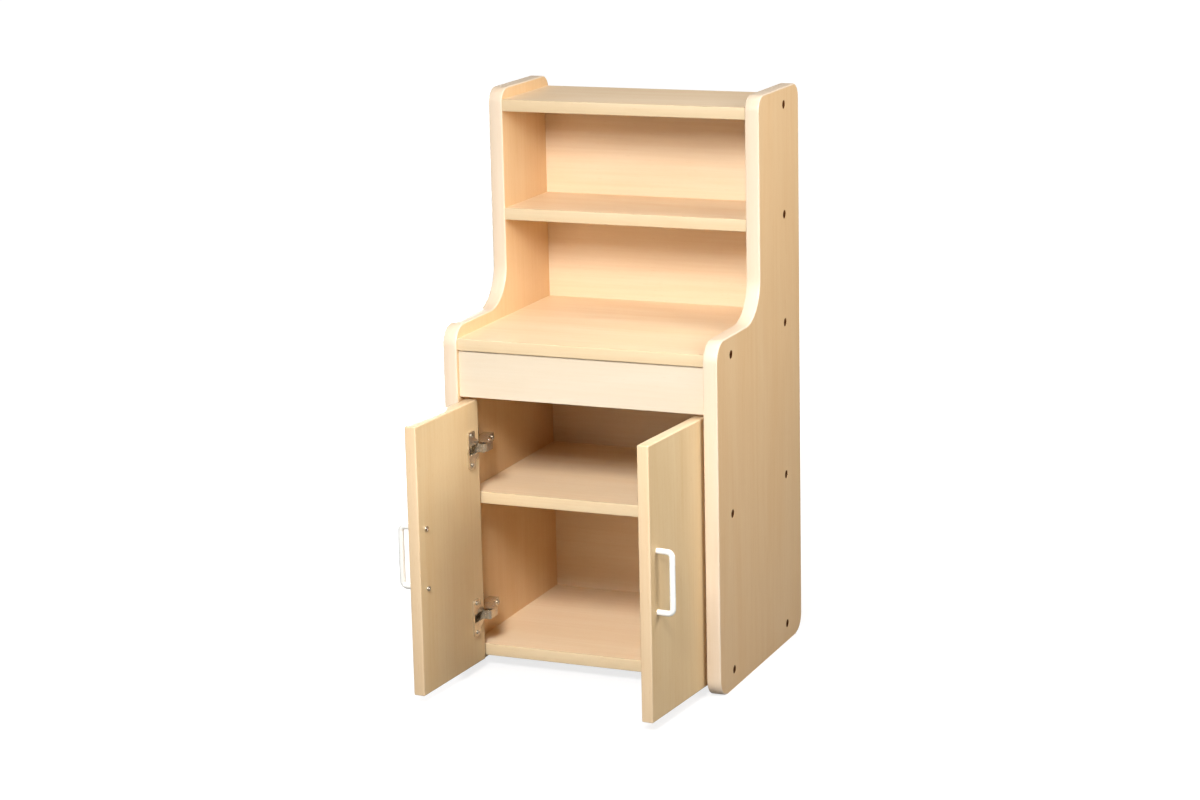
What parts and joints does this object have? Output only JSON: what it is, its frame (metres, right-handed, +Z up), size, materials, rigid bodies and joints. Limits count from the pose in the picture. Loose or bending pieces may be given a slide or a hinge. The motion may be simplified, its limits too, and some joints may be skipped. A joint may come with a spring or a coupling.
{
  "type": "storage cupboard",
  "caption": "Small maple-faced hutch cupboard: two open shelf bays above a counter, S-curved sides, an apron and two hinged doors with white bow handles",
  "frame": {"origin": "the point on the floor under the middle of the box round the cupboard as drawn, with both doors open", "axes": "x to the cupboard's right side as seen from the front, y from the front to the back, z up"},
  "size_m": [0.4718, 0.5652, 0.916],
  "materials": {
    "maple_board": "satin maple-grained laminate on board",
    "maple_edge": "satin pale maple edge band with rounded arrises",
    "dark_screw": "dark burnished connector screws",
    "beech_dowel": "plain fluted dowel wood",
    "zinc_screw": "bright zinc-plated small screws, pins and rivets",
    "white_coat": "glossy white powder coat",
    "nickel_steel": "nickel-plated pressed steel"
  },
  "bodies": {
    "carcass": {"left_side_panel": "maple_board", "right_side_panel": "maple_board", "left_side_edge_band": "maple_edge", "right_side_edge_band": "maple_edge", "top_board": "maple_board", "top_board_edge_band": "maple_edge", "upper_shelf": "maple_board", "upper_shelf_edge_band": "maple_edge", "counter_board": "maple_board", "counter_edge_band": "maple_edge", "apron": "maple_board", "cupboard_shelf": "maple_board", "cupboard_shelf_edge_band": "maple_edge", "bottom_board": "maple_board", "bottom_board_edge_band": "maple_edge", "back_panel": "maple_board", "left_side_screws": "dark_screw", "right_side_screws": "dark_screw", "left_dowels": "beech_dowel", "right_dowels": "beech_dowel", "back_panel_screws": "zinc_screw", "left_upper_hinge_arm": "nickel_steel", "left_lower_hinge_arm": "nickel_steel", "left_upper_hinge_plate": "nickel_steel", "left_lower_hinge_plate": "nickel_steel", "left_plate_screws": "zinc_screw", "left_arm_screws": "zinc_screw", "left_arm_rivets": "zinc_screw", "right_upper_hinge_arm": "nickel_steel", "right_lower_hinge_arm": "nickel_steel", "right_upper_hinge_plate": "nickel_steel", "right_lower_hinge_plate": "nickel_steel", "right_plate_screws": "zinc_screw", "right_arm_screws": "zinc_screw", "right_arm_rivets": "zinc_screw"},
    "left_door": {"left_door_panel": "maple_board", "left_door_edge_band": "maple_edge", "left_handle": "white_coat", "left_handle_screws": "zinc_screw", "left_upper_hinge_cup": "nickel_steel", "left_lower_hinge_cup": "nickel_steel", "left_hinge_pins": "zinc_screw", "left_cup_screws": "zinc_screw"},
    "right_door": {"right_door_panel": "maple_board", "right_door_edge_band": "maple_edge", "right_handle": "white_coat", "right_handle_screws": "zinc_screw", "right_upper_hinge_cup": "nickel_steel", "right_lower_hinge_cup": "nickel_steel", "right_hinge_pins": "zinc_screw", "right_cup_screws": "zinc_screw"}
  },
  "joints": [
    {"name": "left_door_hinge", "type": "hinge", "parent": "carcass", "child": "left_door", "pos_m": [-0.18808, -0.08942, 0.231], "axis": [0, 0, -1], "range_deg": [-93, 5]},
    {"name": "right_door_hinge", "type": "hinge", "parent": "carcass", "child": "right_door", "pos_m": [0.19992, -0.08942, 0.231], "axis": [0, 0, 1], "range_deg": [-85.5, 12.5]}
  ]
}
